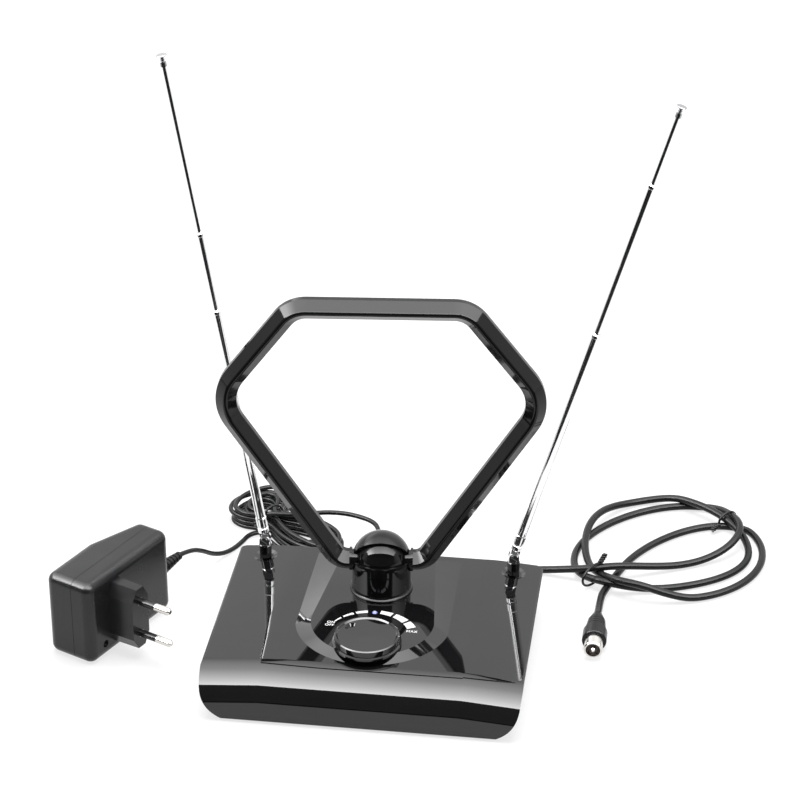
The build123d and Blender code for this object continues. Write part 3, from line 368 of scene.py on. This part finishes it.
marks = []
for start, end in mark_angles:
    bpy.ops.object.select_all(action="DESELECT")
    bpy.ops.mesh.primitive_grid_add(x_subdivisions=mark_steps, y_subdivisions=1, size=1.0)
    mark = bpy.context.object
    for vertex in mark.data.vertices:
        angle = start + (end - start) * (vertex.co.x + 0.5)
        broad = mark_thin + (mark_broad - mark_thin) * (angle - scale_low) / (scale_high - scale_low)
        reach = print_radius + vertex.co.y * broad
        turn = math.radians(angle)
        vertex.co.x = print_center.x + reach * math.sin(turn)
        vertex.co.y = print_center.y + reach * math.cos(turn)
        vertex.co.z = print_height
    marks.append(mark)
bpy.ops.object.select_all(action="DESELECT")
for mark in marks:
    mark.select_set(True)
bpy.context.view_layer.objects.active = marks[0]
bpy.ops.object.join()
dial_marks = bpy.context.object
dial_marks.name = "dial_marks"
lift_ink(dial_marks)


word_size = 2.5 * mm
word_bold = 0.06 * mm
word_spacing = 1.08


def printed_word(name, text, place):
    bpy.ops.object.select_all(action="DESELECT")
    bpy.ops.object.text_add(location=(place[0], place[1], print_height))
    word = bpy.context.object
    word.name = name
    word.data.body = text
    word.data.size = word_size
    word.data.align_x = "CENTER"
    word.data.space_character = word_spacing
    word.data.offset = word_bold
    bpy.ops.object.convert(target="MESH")
    bpy.ops.object.transform_apply(location=True, rotation=True, scale=True)
    lift_ink(bpy.context.object)


printed_word("word_on", "ON", (-20.5 * mm, -12.3 * mm))
printed_word("word_off", "OFF", (-20.9 * mm, -14.8 * mm))
printed_word("word_max", "MAX", (20.7 * mm, -15.6 * mm))

# Loop and turret: two long shells of black plastic with a slightly duller face than the base, welded
# round a flat strip of metal that is the aerial itself, on a ball held in a domed turret.
loop_black = moulded(
    "loop black", (0.005, 0.005, 0.0055), (0.008, 0.008, 0.0085), 0.05, 0.09, 700.0, 0.000003, shine=0.22,
)
dress(loop_black, "loop_front_shell", "loop_rear_shell", "turret", "turret_cap", "loop_ball")
strip_metal = bright_metal("strip metal", (0.55, 0.40, 0.28), (0.68, 0.50, 0.36), 0.25, 0.40, (1.0, 1.0, 1.0))
dress(strip_metal, "loop_conductor")

# Rods: drawn brass tubes plated bright, one sliding in the other, on plated knuckles that turn in
# black boots.
rod_chrome = bright_metal(
    "bright plating", (0.80, 0.80, 0.81), (0.90, 0.90, 0.91), 0.04, 0.10, (1.0, 1.0, 0.06),
)
tip_metal = bright_metal("tip metal", (0.36, 0.36, 0.37), (0.46, 0.46, 0.47), 0.14, 0.22, (1.0, 1.0, 1.0))
rod_pieces = ["fork", "hinge_pin", "rod_foot", "rod_outer", "rod_middle", "rod_inner"]
for side in ("left", "right"):
    dress(gloss_black, side + "_boot")
    dress(rod_chrome, *[side + "_" + piece for piece in rod_pieces])
    dress(tip_metal, side + "_rod_tip")

# Adapter: two half shells of satin black plastic with a fine grain, screwed together round the
# transformer, with bright mains pins in black sleeves and a ribbed relief for the cord.
adapter_black = moulded(
    "adapter black", (0.010, 0.010, 0.011), (0.015, 0.015, 0.016), 0.20, 0.28, 1800.0, 0.00003, shine=0.30,
)
dress(adapter_black, "adapter_rear_shell", "adapter_front_shell", "adapter_pin_sleeves")
cord_black = moulded(
    "cord black", (0.008, 0.008, 0.009), (0.012, 0.012, 0.013), 0.22, 0.30, 500.0, 0.00002, shine=0.17,
)
dress(cord_black, "adapter_relief")
plug_nickel = bright_metal(
    "nickel plating", (0.60, 0.58, 0.55), (0.72, 0.70, 0.67), 0.14, 0.24, (1.0, 0.3, 1.0),
)
dress(plug_nickel, "adapter_pins")
core_iron = bright_metal("core iron", (0.20, 0.19, 0.18), (0.30, 0.29, 0.28), 0.45, 0.60, (1.0, 1.0, 1.0))
dress(core_iron, "adapter_transformer")

# Plugs: bodies moulded on to the cords in the same soft black, with nickel-plated metal, and a dark
# brown insulator between the ring and the pin of the aerial plug.
dress(cord_black, "supply_plug_body", "aerial_plug_body")
dress(plug_nickel, "supply_plug_barrel", "aerial_plug_ring", "aerial_plug_pin")
brown_plastic = moulded(
    "brown plastic", (0.020, 0.013, 0.011), (0.034, 0.022, 0.018), 0.25, 0.35, 900.0, 0.00001, shine=0.3,
)
dress(brown_plastic, "aerial_plug_insulator")


# Supply cord: 1.5 m of thin round black cord. From the plug at the back of the base it goes over
# its own hank, a bow of eight turns nested in pairs with its left lobe turned back, leaves the bow
# at the table and climbs to the adapter.
def lay_cord(name, points, thick):
    line = bpy.data.curves.new(name, "CURVE")
    line.dimensions = "3D"
    line.bevel_depth = thick / 2
    line.bevel_resolution = 4
    line.use_fill_caps = True
    line.resolution_u = 6
    spline = line.splines.new("NURBS")
    spline.points.add(len(points) - 1)
    for point, place in zip(spline.points, points):
        point.co = (place[0] * mm, place[1] * mm, place[2] * mm, 1.0)
    spline.order_u = 3
    spline.use_endpoint_u = True
    piece = bpy.data.objects.new(name, line)
    bpy.context.scene.collection.objects.link(piece)
    line.materials.append(cord_black)
    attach(piece, "base")
    return piece


def shifted(place, offsets):
    return [tuple(a + b for a, b in zip(place, offset)) for offset in offsets]


supply_thick = 2.6
supply_end = (-12.0, 99.8, 15.0)
relief_end = (-110.80, 52.76, 21.5)
from_plug = shifted(supply_end, [
    (0.0, 0.0, 0.0), (-1.3, 5.1, 0.2), (-5.0, 9.8, 0.4), (-11.4, 13.7, 0.1), (-19.0, 17.0, -0.4),
    (-27.2, 18.9, -1.2), (-35.0, 19.4, -2.2),
])
to_adapter = shifted(relief_end, [
    (24.1, 50.5, -20.0), (20.7, 42.1, -20.1), (16.1, 34.2, -19.0), (11.8, 26.0, -14.6),
    (8.1, 17.6, -7.6), (4.1, 8.8, -2.0), (0.0, 0.0, 0.0),
])
waist = (-73.0, 118.5)
right_turn = math.radians(-33.7)
left_turn = math.radians(-56.0)
strand_low = 1.4
layer_rise = 2.8


def in_bow(along, across, height):
    turn = right_turn if along > 0.0 else left_turn
    x = waist[0] + math.cos(turn) * along - math.sin(turn) * across
    y = waist[1] + math.sin(turn) * along + math.cos(turn) * across
    return (x, y, height)


# One turn of the bow: way along it, then way across it for the wide and for the narrow strand.
bow_turn = [
    (28.0, -12.4, -8.4), (14.0, -9.4, -5.0), (4.0, -5.0, -1.6), (-3.0, -7.0, -2.4), (-9.0, -14.5, -8.0),
    (-19.0, -17.0, -9.5), (-28.0, -7.0, -3.0), (-29.0, 8.0, 3.6), (-22.0, 17.0, 9.0), (-12.0, 14.5, 7.2),
    (-4.0, 6.0, 1.9), (4.0, 5.0, 1.6), (14.0, 9.6, 5.2), (28.0, 12.6, 8.6), (42.0, 9.0, 6.8),
    (48.0, -1.0, -0.3), (41.5, -10.0, -7.2),
]
# Each turn from the top down: layer, wide or narrow, reach to the left and right, fan of the left end.
bow_layers = [
    (3, 1.0, 1.00, 1.00, 3.0), (3, 0.0, 0.80, 0.78, 2.0), (2, 0.0, 0.84, 0.90, -1.0),
    (2, 1.0, 1.05, 1.04, -2.0), (1, 1.0, 0.96, 0.95, 1.5), (1, 0.0, 0.78, 0.76, 0.5),
    (0, 0.0, 0.82, 0.88, 0.0), (0, 1.0, 1.00, 1.00, 0.0),
]
# Shares of the way to the next turn that the last two points and the first point of a turn have gone.
last_to_wide = 0.2
last_to_narrow = 0.55
last_down = 0.6
before_last_to_narrow = 0.1
before_last_down = 0.15
first_to_wide = 0.6
# The lobes begin this far from the waist, and the cord joins the first turn at this point of it.
lobe_start = 10.0
fan_length = 18.0
bow_entry = 3
final_step = len(bow_turn) - 1
bow = []
for turn, (layer, wide, reach_left, reach_right, fan) in enumerate(bow_layers):
    next_layer, next_wide = bow_layers[min(turn + 1, len(bow_layers) - 1)][:2]
    previous_wide = bow_layers[max(turn - 1, 0)][1]
    for step, (along, across_wide, across_narrow) in enumerate(bow_turn):
        width = wide
        level = layer
        if step == final_step:
            width += (next_wide - wide) * (last_to_wide if next_wide > wide else last_to_narrow)
            level += (next_layer - layer) * last_down
        if step == final_step - 1:
            width += (next_wide - wide) * (0.0 if next_wide > wide else before_last_to_narrow)
            level += (next_layer - layer) * before_last_down
        if step == 0 and previous_wide < wide:
            width = previous_wide + (wide - previous_wide) * first_to_wide
        across = across_narrow + (across_wide - across_narrow) * width
        if along < -lobe_start:
            across += fan * (-along - lobe_start) / fan_length
            along *= reach_left
        if along > lobe_start:
            along *= reach_right
        bow.append(in_bow(along, across, strand_low + layer_rise * level))
over_bow = [in_bow(12.0, 3.0, 13.0), in_bow(3.0, -2.6, 13.2)]
out_of_bow = [
    in_bow(27.0, -15.6, strand_low), in_bow(14.0, -12.8, strand_low), in_bow(5.0, -10.5, strand_low),
    (-77.3, 113.6, strand_low), (-82.6, 111.8, strand_low), (-85.6, 107.6, strand_low),
]
supply_route = from_plug + over_bow + bow[bow_entry:] + out_of_bow + to_adapter
supply_cord = lay_cord("supply_cord", supply_route, supply_thick * mm)
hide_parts("power_cord_inner", "power_cord_outer", "power_cord_hank")

# A tie holds the waist of the bow: black coated wire, bent once round the strands, with its two ends
# twisted together.
tie_thick = 1.3
tie_steps = 16
twist_steps = 12
twist_turns = 2.0
twist_radius = 0.9
twist_pitch = 2.8


def wire_tie(name, middle, along, half_wide, half_high, tail_turn):
    """Bends a tie round a bundle that runs along the given angle; its ends stand out at tail_turn."""
    middle = Vector(middle)
    side = Vector((-math.sin(along), math.cos(along), 0.0))
    upward = Vector((0.0, 0.0, 1.0))
    forward = Vector((math.cos(along), math.sin(along), 0.0))
    ring = []
    for step in range(tie_steps + 1):
        angle = tail_turn + math.tau * step / tie_steps
        ring.append(middle + side * half_wide * math.cos(angle) + upward * half_high * math.sin(angle))
    outward = (ring[0] - middle).normalized()
    beside = outward.cross(forward)
    ends = []
    for phase in (0.0, math.pi):
        end = []
        for step in range(1, int(twist_steps * twist_turns) + 1):
            angle = phase + math.tau * step / twist_steps
            swing = (forward * math.cos(angle) + beside * math.sin(angle)) * twist_radius
            end.append(ring[0] + outward * twist_pitch * step / twist_steps + swing)
        ends.append(end)
    wire = lay_cord(name, ends[0][::-1] + ring + ends[1], tie_thick * mm)
    bpy.ops.object.select_all(action="DESELECT")
    bpy.context.view_layer.objects.active = wire
    wire.select_set(True)
    bpy.ops.object.convert(target="MESH")
    return bpy.context.object


waist_tie = wire_tie(
    "waist_tie", middle=(*waist, 8.1), along=(right_turn + left_turn) / 2, half_wide=6.9, half_high=7.4,
    tail_turn=math.pi,
)

# Aerial lead: 0.93 m of black coaxial cable, laid in three loose turns beside the base, each of its
# own size and shape, and led back under the bundle to the aerial plug.
lead_thick = 4.0
lead_low = 2.0
lead_end = (38.0, 68.0, 11.0)
aerial_end = (109.6, 47.0, 6.4)
from_base = shifted(lead_end, [
    (0.0, 0.0, 0.0), (0.3, 8.0, -0.6), (3.7, 15.4, -2.6), (9.9, 21.0, -5.4), (18.3, 24.1, -7.6),
    (27.8, 24.9, -8.7), (37.5, 25.7, -9.0),
])
to_plug = shifted(aerial_end, [
    (0.8, 27.0, -3.1), (0.2, 18.2, -3.0), (0.1, 9.0, -1.4), (0.0, 0.0, 0.0),
])
# Middle, half width, half depth and turn of the coil's oval, every half turn along it.
coil_ovals = [
    (139.0, 120.0, 52.0, 16.0, 0.58), (141.0, 142.0, 37.0, 34.0, 0.14), (154.0, 118.0, 68.0, 34.0, 0.37),
    (137.0, 139.0, 30.0, 37.0, 0.38), (145.0, 121.0, 52.0, 52.0, 0.25), (160.0, 127.0, 32.0, 34.0, -0.20),
    (155.0, 96.0, 33.0, 38.0, -1.20),
]
coil_start = -2.685
coil_sweep = 19.33
coil_steps = 72
# Where the lead climbs over itself: middle of the climb in steps, its height, and half its length in steps.
coil_climbs = [
    (0.4, 6.6, 4.4), (9.3, 7.2, 5.0), (24.0, 4.6, 1.7), (35.0, 5.0, 4.6), (43.0, 5.0, 3.6), (48.5, 8.4, 2.8),
]
coil = []
for step in range(coil_steps + 1):
    share = step / coil_steps
    part = share * (len(coil_ovals) - 1)
    first = min(int(part), len(coil_ovals) - 2)
    oval = [a + (b - a) * (part - first) for a, b in zip(coil_ovals[first], coil_ovals[first + 1])]
    angle = coil_start + coil_sweep * share
    wide = oval[2] * math.cos(angle)
    deep = oval[3] * math.sin(angle)
    x = oval[0] + wide * math.cos(oval[4]) - deep * math.sin(oval[4])
    y = oval[1] + wide * math.sin(oval[4]) + deep * math.cos(oval[4])
    height = lead_low
    for middle, climb, half_length in coil_climbs:
        away = min(abs(step - middle) / half_length, 1.0)
        height += climb * math.cos(away * math.pi / 2) ** 2
    coil.append((x, y, height))
# Two ties hold the turns, one at the far end and one where the lead comes back to the plug.
far_tie = wire_tie(
    "far_tie", middle=(173.1, 153.6, 5.3), along=-0.83, half_wide=6.0, half_high=4.6, tail_turn=math.pi + 0.35,
)
near_tie = wire_tie(
    "near_tie", middle=(104.5, 86.0, 6.4), along=-0.60, half_wide=9.0, half_high=5.7, tail_turn=0.9,
)
lead_route = from_base + coil + to_plug
aerial_lead = lay_cord("aerial_lead", lead_route, lead_thick * mm)
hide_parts("coax_lead_inner", "coax_lead_outer", "coax_coil")
